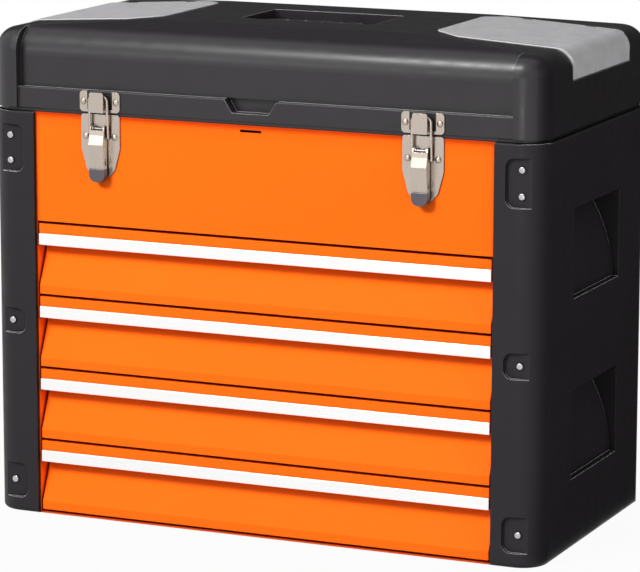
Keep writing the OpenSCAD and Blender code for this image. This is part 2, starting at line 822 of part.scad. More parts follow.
module handle()
    color(CHARCOAL) from_front() difference() {
        union() {
            both_sides() {
                along_x(recess_w/2 - rest_gap - arm_w, recess_w/2 - rest_gap)
                    handle_arm_section();
            }
            along_x(-recess_w/2 + rest_gap + arm_w/2, recess_w/2 - rest_gap - arm_w/2)
                grip_section();
            for (i = [0:PADS - 1])
                translate([(i - (PADS - 1)/2)*pad_pitch, 0, 0]) along_x(-pad_w/2, pad_w/2)
                    pad_section();
        }
        both_sides() handle_pin(handle_pin_r + pin_fit, 1);
        both_sides() translate([recess_w/2 - rest_gap - arm_w - eps, pivot_y, pivot_z])
            rotate([0, 90, 0]) cylinder(r = handle_pin_r + pin_fit, h = arm_w);
    }

grip_z = crown_z - 3.5 - grip_bar_h;        // underside of the grip

module grip_section()
    blend([[grip_y - grip_bar_w/2, grip_z], [grip_y + grip_bar_w/2, grip_z],
           [grip_y + grip_bar_w/2, grip_z + grip_bar_h], [grip_y - grip_bar_w/2, grip_z + grip_bar_h]],
          [4, 4, 4, 4]);

module pad_section()
    blend([[pad_y0, grip_z + grip_bar_h/2], [pad_y1, grip_z + grip_bar_h/2],
           [pad_y1, grip_z + grip_bar_h + pad_h], [pad_y0, grip_z + grip_bar_h + pad_h]],
          [0, 0, 3.5, 3.5]);

module handle_arm_section() {
    translate([pivot_y, pivot_z]) circle(arm_r);
    grip_section();
    polygon([[grip_y, grip_z + 1], [pivot_y, pivot_z - arm_r], [pivot_y, pivot_z + arm_r],
             [grip_y, grip_z + grip_bar_h]]);
}

module handle_pins()
    color(ZINC) from_front() both_sides() handle_pin(handle_pin_r, 0);

// ---------- latches ----------
// A latch is drawn on the middle of the box. Its Y counts from the cabinet front, and its Z from
// the top of its base plate.

latch_z = case_h + 1.2;
LEVER_PIVOT = [-4.6, -12];                  // lever on the base plate, as [y, z]
LOOP_PIVOT = [-3.6, -20];                   // loop on the lever
lever_pin_r = 1.1;
ear_r = 2.2;
ear_x = 4.2;
strike_h = 18.2;
strike_w = latch_w + 1.2;
strike_z = lid_z + 0.3 - latch_z;
hook_z = strike_z + 12;                     // top of the shelf that the loop rests on
hook_reach = 7;                             // how far the hook stands out from its plate
strike_y = -flange_proud;
LOOP_BAR = [-5.4, hook_z + rest_gap + wire_r];

module at_latch(side) from_front() translate([side*latch_x, 0, latch_z]) children();

taper_z = -29.5;
foot_z = -54.5;

module latch_base() {
    w = latch_w/2;
    difference() {
        union() {
            along_y(-latch_t, 0)
                blend([[-8, foot_z], [8, foot_z], [13.6, foot_z + 6], [w, taper_z], [w, 0], [-w, 0],
                       [-w, taper_z], [-13.6, foot_z + 6]], [5, 5, 5, 8, 2.5, 2.5, 8, 5]);
            both_sides() along_x(ear_x, ear_x + latch_t) {
                translate(LEVER_PIVOT) circle(ear_r);
                translate([LEVER_PIVOT.x, LEVER_PIVOT.y - ear_r])
                    square([-LEVER_PIVOT.x - latch_t/2, 2*ear_r]);
            }
        }
        lever_pivot_rod(lever_pin_r + pin_fit, 10);
    }
}

module lever_pivot_rod(r, half)
    translate([-half, LEVER_PIVOT.x, LEVER_PIVOT.y]) rotate([0, 90, 0])
        cylinder(r = r, h = 2*half);

KNEE = [[-8.9, -17.4], [-11.2, -25.5], [-8.8, -47]];
lever_top = [-8.3, -13];                    // upper edge of the lever's face

module lever() {
    w = lever_w/2;
    difference() {
        union() {
            along_x(-w, w) bent_sheet(concat([lever_top], KNEE), latch_t);
            both_sides() along_x(w - latch_t, w) {
                translate(LEVER_PIVOT) circle(3);
                polygon(concat([[-6.8, -10], lever_top], KNEE,
                               [[-3.4, KNEE[2].y], [-2, -27], [-2, -14]]));
            }
        }
        lever_pivot_rod(lever_pin_r + pin_fit, past);
        translate([-past, LOOP_PIVOT.x, LOOP_PIVOT.y]) rotate([0, 90, 0])
            cylinder(r = wire_r + pin_fit, h = 2*past);
        // three-cornered openings in the cheeks
        along_x(-past, past) polygon([[-7.4, -43.5], [-4.4, -43.5], [-6.2, -36.5]]);
    }
}

tip_l = 11.4;
module lever_tip()
    along_y(KNEE[2].x - 0.8, -3.2)
        blend([[-lever_w/2 - 0.3, KNEE[2].y - tip_l], [lever_w/2 + 0.3, KNEE[2].y - tip_l],
               [lever_w/2 + 0.3, KNEE[2].y], [-lever_w/2 - 0.3, KNEE[2].y]], [6.5, 6.5, 0, 0]);

loop_x = lever_w/2 + 0.4 + wire_r;          // a leg of the loop
bend_r = 3.2;

module loop() {
    arm = LOOP_BAR - LOOP_PIVOT;
    len_leg = norm(arm) - bend_r;
    lean = atan2(-arm.x, arm.y);
    translate([0, LOOP_PIVOT.x, LOOP_PIVOT.y]) rotate([lean, 0, 0]) {
        both_sides() {
            translate([loop_x, 0, 0]) {
                cylinder(r = wire_r, h = len_leg);
                sphere(wire_r);
            }
            translate([loop_x - 2 - wire_r - 0.4, 0, 0]) rotate([0, 90, 0])
                cylinder(r = wire_r, h = 2 + wire_r + 0.4);
            translate([loop_x - bend_r, 0, len_leg]) rotate([90, 0, 0])
                rotate_extrude(angle = 90) translate([bend_r, 0]) circle(wire_r);
        }
        translate([-loop_x + bend_r, 0, len_leg + bend_r]) rotate([0, 90, 0])
            cylinder(r = wire_r, h = 2*(loop_x - bend_r));
    }
}

window_x = 12;                              // half-width of the strike's window
tongue_x = 6.75;
shelf_x = tongue_x - 1.2;

module strike() {
    w = strike_w/2;
    top = strike_z + strike_h;
    along_y(strike_y - latch_t, strike_y) difference() {
        blend([[-w, strike_z], [w, strike_z], [w, top], [-w, top]], [3.5, 3.5, 3.5, 3.5]);
        both_sides() translate([tongue_x, strike_z + 2.5])
            square([window_x - tongue_x, strike_h]);
        translate([-window_x, hook_z]) square([2*window_x, strike_h]);
    }
    // shelf and upturned tongue, folded down again at the front
    translate([-shelf_x, strike_y - latch_t - hook_reach, hook_z - latch_t])
        cube([2*shelf_x, hook_reach + latch_t, latch_t]);
    along_y(strike_y - latch_t - hook_reach, strike_y - hook_reach)
        blend([[-tongue_x, strike_z + 0.3], [tongue_x, strike_z + 0.3], [tongue_x, top - 0.3],
               [-tongue_x, top - 0.3]], [0.5, 0.5, 2, 2]);
}

rivet_x = latch_w/2 - 4.9;
strike_rivet_x = strike_w/2 - 3.65;
base_rivet_z = -19.3;
rivet_h = 1.8;

module latch_base_left() color(STEEL) at_latch(-1) latch_base();
module latch_base_right() color(STEEL) at_latch(1) latch_base();
module latch_pin_left() color(ZINC) at_latch(-1) lever_pivot_rod(lever_pin_r, lever_w/2 - 0.1);
module latch_pin_right() color(ZINC) at_latch(1) lever_pivot_rod(lever_pin_r, lever_w/2 - 0.1);
module latch_lever_left() color(STEEL) at_latch(-1) lever();
module latch_lever_right() color(STEEL) at_latch(1) lever();
module lever_tip_left() color(BLACK) at_latch(-1) lever_tip();
module lever_tip_right() color(BLACK) at_latch(1) lever_tip();
module latch_loop_left() color(STEEL) at_latch(-1) loop();
module latch_loop_right() color(STEEL) at_latch(1) loop();
module strike_left() color(STEEL) at_latch(-1) strike();
module strike_right() color(STEEL) at_latch(1) strike();

module latch_base_rivets()
    color(STEEL) for (side = [-1, 1], end = [-1, 1])
        at_latch(side) front_dome(end*rivet_x, -latch_t, base_rivet_z, rivet_r, rivet_h);

module strike_rivets()
    color(STEEL) for (side = [-1, 1], end = [-1, 1]) at_latch(side)
        front_dome(end*strike_rivet_x, strike_y - latch_t, strike_z + strike_h/2, rivet_r, rivet_h);

// ---------- lid hinges ----------

hinge_t = 1.5;
hinge_z = case_h + lid_gap/2;
hinge_y = lid_back + hinge_t + 1;
knuckle_gap = 0.3;
KNUCKLES = 3;
knuckle_l = hinge_w/KNUCKLES;
leaf_h = 30;

// The knuckles listed, on the hinge's axis
module hinge_barrel(picks) difference() {
    for (i = picks)
        translate([-hinge_w/2 + i*knuckle_l + knuckle_gap/2, hinge_y, hinge_z]) rotate([0, 90, 0])
            cylinder(r = barrel_r, h = knuckle_l - knuckle_gap);
    translate([-hinge_w, hinge_y, hinge_z]) rotate([0, 90, 0])
        cylinder(r = hinge_pin_r + pin_fit, h = 2*hinge_w);
}

module at_hinges() from_front() for (side = [-1, 1]) translate([side*hinge_x, 0, 0]) children();

module hinge_case_leaves()
    color(STEEL) at_hinges() {
        hinge_barrel([0, 2]);
        difference() {
            union() {
                translate([-hinge_w/2, case_d, hinge_z - leaf_h])
                    cube([hinge_w, back_proud, leaf_h - barrel_r - 1]);
                for (i = [0, 2])
                    translate([-hinge_w/2 + i*knuckle_l + knuckle_gap/2, case_d, hinge_z - barrel_r - 1.5])
                        cube([knuckle_l - knuckle_gap, back_proud + hinge_t, barrel_r + 1.5]);
            }
            translate([-hinge_w, hinge_y, hinge_z]) rotate([0, 90, 0])
                cylinder(r = hinge_pin_r + pin_fit + 0.3, h = 2*hinge_w);
        }
    }

module hinge_lid_leaves()
    color(STEEL) at_hinges() {
        hinge_barrel([1]);
        difference() {
            union() {
                translate([-hinge_w/2, lid_back, hinge_z + barrel_r + 1])
                    cube([hinge_w, hinge_t, leaf_h - barrel_r - 1]);
                translate([-hinge_w/2 + knuckle_l + knuckle_gap/2, lid_back, hinge_z + 1.5])
                    cube([knuckle_l - knuckle_gap, hinge_t, barrel_r + 2]);
            }
            translate([-hinge_w, hinge_y, hinge_z]) rotate([0, 90, 0])
                cylinder(r = hinge_pin_r + pin_fit + 0.3, h = 2*hinge_w);
        }
    }

module hinge_pins()
    color(ZINC) at_hinges() translate([-hinge_w/2, hinge_y, hinge_z]) rotate([0, 90, 0])
        cylinder(r = hinge_pin_r, h = hinge_w);

hinge_screw_x = hinge_w/2 - 10;

module hinge_screws()
    color(ZINC) at_hinges() for (x = [-hinge_screw_x, hinge_screw_x])
        translate([x, lid_back, hinge_z - leaf_h*0.6]) rotate([-90, 0, 0]) dome(screw_r, screw_head_h);

module lid_screws()
    color(ZINC) at_hinges() for (x = [-hinge_screw_x, hinge_screw_x])
        translate([x, lid_back + hinge_t, hinge_z + leaf_h*0.6]) rotate([-90, 0, 0])
            dome(screw_r, screw_head_h);

// ---------- drawing ----------

cabinet_case();
front_panel();
bin_floor();
left_end_shell();
right_end_shell();
shell_screws();
runners(1);  // runners_1
runners(2);  // runners_2
runners(3);  // runners_3
runners(4);  // runners_4
hinge_case_leaves();
hinge_pins();
hinge_screws();
latch_base_left();
latch_base_right();
latch_base_rivets();
latch_pin_left();
latch_pin_right();
latch_lever_left();
latch_lever_right();
lever_tip_left();
lever_tip_right();
latch_loop_left();
latch_loop_right();
lid_shell();
strike_left();
strike_right();
strike_rivets();
hinge_lid_leaves();
lid_screws();
organizer_cover_left();
organizer_cover_right();
cover_pins();
handle();
handle_pins();
drawer_pan(1);  // drawer_1_pan
drawer_pan(2);  // drawer_2_pan
drawer_pan(3);  // drawer_3_pan
drawer_pan(4);  // drawer_4_pan
drawer_front(1);  // drawer_1_front
drawer_front(2);  // drawer_2_front
drawer_front(3);  // drawer_3_front
drawer_front(4);  // drawer_4_front
drawer_pull(1);  // drawer_1_pull
drawer_pull(2);  // drawer_2_pull
drawer_pull(3);  // drawer_3_pull
drawer_pull(4);  // drawer_4_pull
drawer_rails(1);  // drawer_1_rails
drawer_rails(2);  // drawer_2_rails
drawer_rails(3);  // drawer_3_rails
drawer_rails(4);  // drawer_4_rails
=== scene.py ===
"""Portable tool box with drawers: finishes, screw heads, studio and camera.

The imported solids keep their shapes, and each gets the finish of its material slot. Three nodes of
plain screw heads are replaced by heads with a cross recess. Colours are shares of linear red,
green and blue. Lengths are in metres, except where a finish says millimetres.
"""
import json
import math

import bmesh
import bpy
from mathutils import Matrix, Vector


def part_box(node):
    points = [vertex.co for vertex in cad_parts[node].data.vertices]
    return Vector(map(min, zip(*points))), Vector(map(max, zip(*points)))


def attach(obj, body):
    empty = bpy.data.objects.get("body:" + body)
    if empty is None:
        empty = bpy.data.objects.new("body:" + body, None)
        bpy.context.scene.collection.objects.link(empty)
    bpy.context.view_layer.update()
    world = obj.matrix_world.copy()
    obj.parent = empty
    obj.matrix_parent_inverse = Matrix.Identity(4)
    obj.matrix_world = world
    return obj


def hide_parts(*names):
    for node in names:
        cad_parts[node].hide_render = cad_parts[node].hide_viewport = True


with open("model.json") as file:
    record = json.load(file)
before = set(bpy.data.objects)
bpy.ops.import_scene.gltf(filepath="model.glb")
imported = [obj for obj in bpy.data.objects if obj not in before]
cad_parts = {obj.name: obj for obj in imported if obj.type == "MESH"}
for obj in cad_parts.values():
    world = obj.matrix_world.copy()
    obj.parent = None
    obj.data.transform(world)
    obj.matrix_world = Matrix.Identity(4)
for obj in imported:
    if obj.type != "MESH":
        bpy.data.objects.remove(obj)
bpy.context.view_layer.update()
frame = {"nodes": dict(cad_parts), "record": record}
nodes = frame["nodes"]
MM = 0.001


# ---------- how a finish is made ----------

MM_IN_A_METRE = 1000.0
EDGE_SAMPLES, ROUNDING_SAMPLES, CREVICE_SAMPLES = 4, 6, 6
# An edge shows from the first of these cosines between its flat and its rounded face, and fully
# at the second. Its rounded face counts as an upper one by the height of its normal.
EDGE_TURN = (1.0, 0.75)
UPPER_FACING = (0.1, 0.6)


def scaled(colour, factor):
    """A colour times a factor, no brighter than white."""
    return tuple(min(1.0, channel * factor) for channel in colour)


class Finish:
    """A material being made: its nodes, its Principled shader and the coordinates it reads."""

    def __init__(self, name, colour, metallic=0.0, specular=0.5):
        self.material = bpy.data.materials.new(name)
        self.material.use_nodes = True
        self.tree = self.material.node_tree
        self.shader = self.tree.nodes["Principled BSDF"]
        self.shader.inputs["Base Color"].default_value = (*colour, 1.0)
        self.shader.inputs["Metallic"].default_value = metallic
        self.shader.inputs["Specular IOR Level"].default_value = specular
        self.places = self.tree.nodes.new("ShaderNodeTexCoord").outputs["Object"]

    def node(self, kind, settings=None, **inputs):
        """A new node with its settings, and with a value or a link in each named input."""
        made = self.tree.nodes.new(kind)
        for key, value in (settings or {}).items():
            setattr(made, key, value)
        for key, value in inputs.items():
            self.feed(made.inputs[key.replace("_", " ")], value)
        return made

    def feed(self, socket, value):
        """Links an output to a socket, or sets the socket to a plain value."""
        if isinstance(value, bpy.types.NodeSocket):
            self.tree.links.new(value, socket)
        else:
            socket.default_value = value

    def noise(self, size, detail=3.0, along=None):
        """Cloudy noise with blotches about size millimetres wide. With along, a scale for each of
        X, Y and Z, it runs in lines along the axis with the smallest."""
        where = self.places
        if along:
            where = self.node("ShaderNodeMapping", Vector=where, Scale=along).outputs["Vector"]
        return self.node("ShaderNodeTexNoise", Vector=where, Scale=MM_IN_A_METRE / size,
                         Detail=detail).outputs["Fac"]

    def spread(self, value, low, high, start=0.3, end=0.7):
        """Low where value is at start, high where it is at end, and even between them."""
        return self.node("ShaderNodeMapRange", Value=value, From_Min=start, From_Max=end,
                         To_Min=low, To_Max=high).outputs["Result"]

    def clouds(self, size, strength, detail=3.0):
        """Blotches about size millimetres wide, from 0 up to strength."""
        return self.spread(self.noise(size, detail), 0.0, strength)

    def times(self, a, b):
        product = self.node("ShaderNodeMath", {"operation": "MULTIPLY"})
        self.feed(product.inputs[0], a)
        self.feed(product.inputs[1], b)
        return product.outputs["Value"]

    def tint(self, colour, share, strength=None):
        """Mixes a colour into what the base colour is so far, by share times strength."""
        base = self.shader.inputs["Base Color"]
        under = base.links[0].from_socket if base.links else tuple(base.default_value)
        mix = self.node("ShaderNodeMix", {"data_type": "RGBA"})
        self.feed(mix.inputs["Factor"], self.times(share, strength) if strength else share)
        self.feed(mix.inputs["A"], under)
        self.feed(mix.inputs["B"], (*colour, 1.0))
        self.tree.links.new(mix.outputs["Result"], base)

    def gloss(self, value):
        self.feed(self.shader.inputs["Roughness"], value)

    def edges(self, radius, upper=False):
        """How far a point lies on an edge rounded by radius millimetres, 0 to 1, for painted
        highlights along rims. With upper, only on edges that face up, for a painted highlight of
        light from above."""
        rounded = self.node("ShaderNodeBevel", {"samples": EDGE_SAMPLES}, Radius=radius * MM)
        rounded = rounded.outputs["Normal"]
        cosine = self.node("ShaderNodeVectorMath", {"operation": "DOT_PRODUCT"})
        self.feed(cosine.inputs[0], rounded)
        self.feed(cosine.inputs[1], self.node("ShaderNodeNewGeometry").outputs["Normal"])
        edge = self.spread(cosine.outputs["Value"], 0.0, 1.0, *EDGE_TURN)
        if not upper:
            return edge
        facing = self.node("ShaderNodeSeparateXYZ", Vector=rounded).outputs["Z"]
        return self.times(edge, self.spread(facing, 0.0, 1.0, *UPPER_FACING))

    def under(self, level, reach):
        """0 to 1 over the reach millimetres of a piece's height that end at level, for painted
        shade under what stands over it."""
        height = self.node("ShaderNodeSeparateXYZ", Vector=self.places).outputs["Z"]
        return self.spread(height, 0.0, 1.0, start=level - reach * MM, end=level)

    def crevice_shade(self, depth, full, none):
        """How deep a point lies in a gap or corner, 0 to 1, for painted shade in seams and folds.
        It is
        1 where less than full of the light gets in, and 0 where more than none does."""
        light = self.node("ShaderNodeAmbientOcclusion", {"samples": CREVICE_SAMPLES},
                          Distance=depth * MM).outputs["AO"]
        return self.spread(light, 1.0, 0.0, start=full, end=none)

    def relief(self, *layers, edge):
        """Rounds the edges by edge millimetres and adds bumps, each (value, depth in millimetres).
        Gives back the finished material."""
        normal = self.node("ShaderNodeBevel", {"samples": ROUNDING_SAMPLES},
                           Radius=edge * MM).outputs["Normal"]
        for value, depth in layers:
            normal = self.node("ShaderNodeBump", Height=value, Distance=depth * MM,
                               Normal=normal).outputs["Normal"]
        self.feed(self.shader.inputs["Normal"], normal)
        return self.material


# ---------- finishes ----------

ORANGE = (0.96, 0.133, 0.006)
ORANGE_CLOUD = (0.98, 0.146, 0.008)
ORANGE_SPECK = (0.84, 0.1, 0.004)
ORANGE_EDGE_HIGHLIGHT = (1.0, 0.33, 0.07)
ORANGE_PAINTED_SHADE = (0.8, 0.07, 0.003)
ORANGE_PAINTED_SHADOW_LINE = (0.3, 0.01, 0.001)
ORANGE_SEAM_SHADE = (0.3, 0.006, 0.001)
ORANGE_GLINT = (1.0, 0.5, 0.2, 1.0)
UNDER_FLANGE = 1.5 * MM                # the painted shade is full this far under the lid's flange
SOFT_SHADE, DARK_LINE = 14, 4.5        # and its two layers fade out within these millimetres


def powder_coat():
    """Orange powder coat: satin, with faint orange peel and a little dust in its tone, painted
    highlights on its edges, and painted shade in its seams and just under the lid's flange."""
    coat = Finish("orange_powder_coat", ORANGE, specular=0.24)
    coat.shader.inputs["Specular Tint"].default_value = ORANGE_GLINT
    coat.tint(ORANGE_CLOUD, coat.clouds(size=160, strength=0.35))
    coat.tint(ORANGE_SPECK, coat.clouds(size=1.4, strength=0.16))
    # painted highlight: the coat's edges are mixed paler orange
    coat.tint(ORANGE_EDGE_HIGHLIGHT, coat.edges(radius=0.6), strength=0.25)
    shade_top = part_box("lid_shell")[0][2] - UNDER_FLANGE
    # painted shadow: a soft darker band and a dark line on the coat just under the lid's flange
    coat.tint(ORANGE_PAINTED_SHADE, coat.under(shade_top, SOFT_SHADE), strength=0.4)
    coat.tint(ORANGE_PAINTED_SHADOW_LINE, coat.under(shade_top, DARK_LINE), strength=0.7)
    # painted shade: the coat is darkened deep red in its seams and folds, where little light gets
    # in
    coat.tint(ORANGE_SEAM_SHADE, coat.crevice_shade(depth=5, full=0.45, none=0.9), strength=0.85)
    coat.gloss(coat.spread(coat.noise(size=9), low=0.36, high=0.48))
    return coat.relief((coat.noise(size=1.7, detail=2.0), 0.012), edge=0.7)


# Colours of moulded plastic as shares of its tone, a grey with a little less green
PLASTIC = (1.0, 0.88, 1.0)
PLASTIC_CLOUD = (1.25, 1.1, 1.25)
PLASTIC_SPECK = (0.6, 0.53, 0.6)
PLASTIC_SEAM_SHADE = (0.12, 0.1, 0.12)
PLASTIC_EDGE_HIGHLIGHT = (4.0, 3.9, 4.0)
PLASTIC_UPPER_HIGHLIGHT = (0.7, 0.68, 0.71)     # the same on every tone
GRAIN_CELL = 0.8                       # millimetres


def moulded_plastic(name, tone, roughness, grain, specular, upper_highlight=0.8):
    """Charcoal moulded plastic with a fine leathery grain, grain millimetres deep, with painted
    highlights on its edges and painted shade in its seams. The last argument sets how pale the
    painted highlight makes its upper edges."""
    plastic = Finish(name, scaled(PLASTIC, tone), specular=specular)
    plastic.tint(scaled(PLASTIC_CLOUD, tone), plastic.clouds(size=70, strength=0.5))
    plastic.tint(scaled(PLASTIC_SPECK, tone), plastic.clouds(size=0.9, strength=0.3))
    # painted shade: seams and corners of the plastic are darkened where little light gets in
    plastic.tint(scaled(PLASTIC_SEAM_SHADE, tone), plastic.crevice_shade(depth=6, full=0.4, none=0.86),
                 strength=0.9)
    # painted highlights: edges are mixed much paler than the tone, and upward-facing edges paler
    # still
    plastic.tint(scaled(PLASTIC_EDGE_HIGHLIGHT, tone), plastic.edges(radius=0.7), strength=0.7)
    plastic.tint(PLASTIC_UPPER_HIGHLIGHT, plastic.edges(radius=0.8, upper=True), strength=upper_highlight)
    plastic.gloss(plastic.spread(plastic.noise(size=14),
                                 low=roughness - 0.05, high=roughness + 0.06))
    cells = plastic.node("ShaderNodeTexVoronoi", {"feature": "SMOOTH_F1"}, Vector=plastic.places,
                         Scale=MM_IN_A_METRE / GRAIN_CELL).outputs["Distance"]
    fine = plastic.noise(size=0.5, detail=2.0)
    return plastic.relief((cells, grain), (fine, grain / 2), edge=1.0)


FROSTED = (0.46, 0.45, 0.46)
FROSTED_CLOUD = (0.345, 0.338, 0.348)
FROSTED_SPECK = (0.54, 0.53, 0.54)
FROSTED_EDGE_HIGHLIGHT = (0.8, 0.79, 0.8)
LIGHT_SOAKS_IN = 2 * MM


def frosted_plastic():
    """Light grey frosted plastic of the covers, cloudy inside, with a painted highlight at its
    edges.
    """
    cover = Finish("frosted_cover", FROSTED, specular=0.4)
    cover.tint(FROSTED_CLOUD, cover.clouds(size=17, strength=0.7, detail=4.0))
    cover.tint(FROSTED_SPECK, cover.clouds(size=1.1, strength=0.25))
    # painted highlight: the cover's edges are mixed paler
    cover.tint(FROSTED_EDGE_HIGHLIGHT, cover.edges(radius=1.2), strength=0.8)
    cover.shader.inputs["Subsurface Weight"].default_value = 0.15
    cover.shader.inputs["Subsurface Radius"].default_value = [LIGHT_SOAKS_IN] * 3
    cover.shader.inputs["Subsurface Scale"].default_value = 1.0
    cover.gloss(cover.spread(cover.noise(size=6), low=0.36, high=0.5))
    return cover.relief((cover.noise(size=0.7, detail=2.0), 0.02), edge=0.8)


# Shades of a metal as shares of its colour: its rolling lines, its clouds, the painted highlight on
# its edges and the painted shade in its corners
METAL_LINE, METAL_CLOUD, METAL_EDGE_HIGHLIGHT, METAL_CORNER_SHADE = 0.8, 0.86, 1.35, 0.12


def rolled_metal(name, colour, roughness, along, edge=0.35, depth=0.01, contrast=0.35, corner_shade=0.0):
    """Bare or plated metal whose fine rolling lines run along one axis, depth millimetres deep
    and as strong as contrast. With its last argument, its corners get painted shade."""
    metal = Finish(name, colour, metallic=1.0)
    lines = metal.noise(size=1.0, along=along)
    metal.tint(scaled(colour, METAL_LINE), metal.spread(lines, 0.0, contrast))
    metal.tint(scaled(colour, METAL_CLOUD), metal.clouds(size=18, strength=contrast * 0.6))
    # painted highlight: the metal's edges are mixed paler
    metal.tint(scaled(colour, METAL_EDGE_HIGHLIGHT), metal.edges(radius=0.4), strength=0.5)
    # painted shade: corners and gaps of the metal are darkened where little light gets in
    if corner_shade:
        metal.tint(scaled(colour, METAL_CORNER_SHADE), metal.crevice_shade(depth=3, full=0.35, none=0.9),
                   strength=corner_shade)
    metal.gloss(metal.spread(lines, low=roughness - 0.05, high=roughness + 0.08))
    return metal.relief((lines, depth), edge=edge)


# How each metal's rolling lines are stretched along X, Y and Z
PULL_LINES, HINGE_LINES, SLIDE_LINES = (0.02, 1, 1), (0.05, 1, 1), (1, 0.03, 1)
LATCH_LINES, NO_LINES = (1, 1, 0.05), (1, 1, 1)

FINISHES = {
    "cabinet_steel": powder_coat(),
    "shell_plastic": moulded_plastic("shell_plastic_grain", tone=0.0155, roughness=0.5,
                                     grain=0.04, specular=0.2),
    "lid_plastic": moulded_plastic("lid_plastic_satin", tone=0.014, roughness=0.33,
                                   grain=0.015, specular=0.45, upper_highlight=0.75),
    "handle_plastic": moulded_plastic("handle_plastic_satin", tone=0.022, roughness=0.3,
                                      grain=0.02, specular=0.5, upper_highlight=1.0),
    "tip_plastic": moulded_plastic("dipped_tip", tone=0.075, roughness=0.35,
                                   grain=0.01, specular=0.4),
    "frosted_plastic": frosted_plastic(),
    "pull_strip": rolled_metal("anodised_pull", (0.985, 0.98, 0.975), roughness=0.3,
                               along=PULL_LINES, depth=0.004, contrast=0.1),
    "latch_steel": rolled_metal("nickel_plate", (0.56, 0.485, 0.42), roughness=0.27,
                                along=LATCH_LINES, corner_shade=0.8),
    "hinge_steel": rolled_metal("zinc_hinge", (0.6, 0.59, 0.58), roughness=0.34,
                                along=HINGE_LINES),
    "zinc_steel": rolled_metal("zinc_slides", (0.58, 0.58, 0.6), roughness=0.36,
                               along=SLIDE_LINES),
    "screw_steel": rolled_metal("bright_screw", (0.52, 0.52, 0.53), roughness=0.2,
                                along=NO_LINES, edge=0.2, corner_shade=0.9),
}
FINISHES["drawer_steel"] = FINISHES["cabinet_steel"]

for part in frame["record"]["subparts"]:
    nodes[part["node"]].data.materials[0] = FINISHES[part["material_slot"]]


# ---------- screw heads ----------

WELD = 1e-6                            # corners this close are one
# A head's shape, as shares of its radius and height
FLAT_TOP = 0.55
DOME = ((0.8, 0.88), (0.95, 0.5), (1.0, 0.12), (1.0, 0.0))     # radius and height of each ring
GRID_HALF = 0.42                       # the middle row and column of this grid are the cross
ON_CROSS = 0.1                         # whose faces have their centres this near its axes
CROSS_LIP, CROSS_FLOOR, CROSS_DEPTH = 0.05, 0.7, 0.5
FIRST_TURN, NEXT_TURN = 12, 37         # degrees that each head is turned on its own axis
HEAD_ROUNDING = 2                      # levels of subdivision


def islands(node):
    """Lowest and highest corners of each separate solid of a CAD node."""
    built = bmesh.new()
    built.from_mesh(nodes[node].data)
    bmesh.ops.remove_doubles(built, verts=built.verts, dist=WELD)
    left = set(built.verts)
    found = []
    while left:
        front, solid = [left.pop()], []
        while front:
            here = front.pop()
            solid.append(here.co.copy())
            for other in (edge.other_vert(here) for edge in here.link_edges):
                if other in left:
                    left.remove(other)
                    front.append(other)
        found.append([Vector([pick(c[k] for c in solid) for k in range(3)]) for pick in (min, max)])
    built.free()
    return sorted(found, key=lambda corners: tuple(corners[0]))


def pan_head(mesh, place, radius, height):
    """Adds to a mesh a low domed screw head with a cross recess, standing along the Z of place."""
    built = bmesh.new()
    made = bmesh.ops.create_grid(built, x_segments=3, y_segments=3,
                                 size=GRID_HALF * radius)["verts"]
    faces = {face for vert in made for face in vert.link_faces}
    rim = [edge for edge in {e for face in faces for e in face.edges} if edge.is_boundary]
    for vert in {v for edge in rim for v in edge.verts}:
        vert.co = vert.co.normalized() * FLAT_TOP * radius
    bmesh.ops.translate(built, verts=made, vec=(0, 0, height))
    cross = [face for face in faces
             if min(abs(c) for c in face.calc_center_median().xy) < ON_CROSS * radius]
    for reach, level in DOME:
        grown = bmesh.ops.extrude_edge_only(built, edges=rim)["geom"]
        ring = [item for item in grown if isinstance(item, bmesh.types.BMVert)]
        rim = [item for item in grown if isinstance(item, bmesh.types.BMEdge) and item.is_boundary]
        for vert in ring:
            across = vert.co.xy.normalized() * reach * radius
            vert.co = (across.x, across.y, level * height)
    bmesh.ops.contextual_create(built, geom=rim)
    bmesh.ops.inset_region(built, faces=cross, thickness=CROSS_LIP * radius, use_even_offset=True)
    sunk = bmesh.ops.extrude_face_region(built, geom=cross)["geom"]
    floor = [item for item in sunk if isinstance(item, bmesh.types.BMVert)]
    bmesh.ops.scale(built, verts=floor, vec=(CROSS_FLOOR, CROSS_FLOOR, 1.0))
    bmesh.ops.translate(built, verts=floor, vec=(0, 0, -CROSS_DEPTH * height))
    bmesh.ops.transform(built, matrix=place, verts=built.verts)
    bmesh.ops.recalc_face_normals(built, faces=built.faces)
    for face in built.faces:
        face.smooth = True
    built.from_mesh(mesh)
    built.to_mesh(mesh)
    built.free()


def screw_heads(node, body):
    """Cross-recessed heads in the places of a CAD node's plain ones, each turned its own way."""
    mesh = bpy.data.meshes.new(node + "_heads")
    for number, (low, high) in enumerate(islands(node)):
        middle = (low + high) / 2
        out = -1 if middle.y < 0 else 1
        base = Vector((middle.x, high.y if out < 0 else low.y, middle.z))
        turn = math.radians(FIRST_TURN + NEXT_TURN * number)
        place = (Matrix.Translation(base) @ Matrix.Rotation(math.radians(-90 * out), 4, "X")
                 @ Matrix.Rotation(turn, 4, "Z"))
        pan_head(mesh, place, radius=(high.x - low.x) / 2, height=high.y - low.y)
    piece = bpy.data.objects.new(node + "_heads", mesh)
    bpy.context.scene.collection.objects.link(piece)
    mesh.materials.append(FINISHES["screw_steel"])
    round_off = piece.modifiers.new("round", "SUBSURF")
    round_off.levels = round_off.render_levels = HEAD_ROUNDING
    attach(piece, body)
    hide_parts(node)


screw_heads("shell_screws", "cabinet")
screw_heads("hinge_screws", "cabinet")
screw_heads("lid_screws", "lid")


# ---------- studio ----------

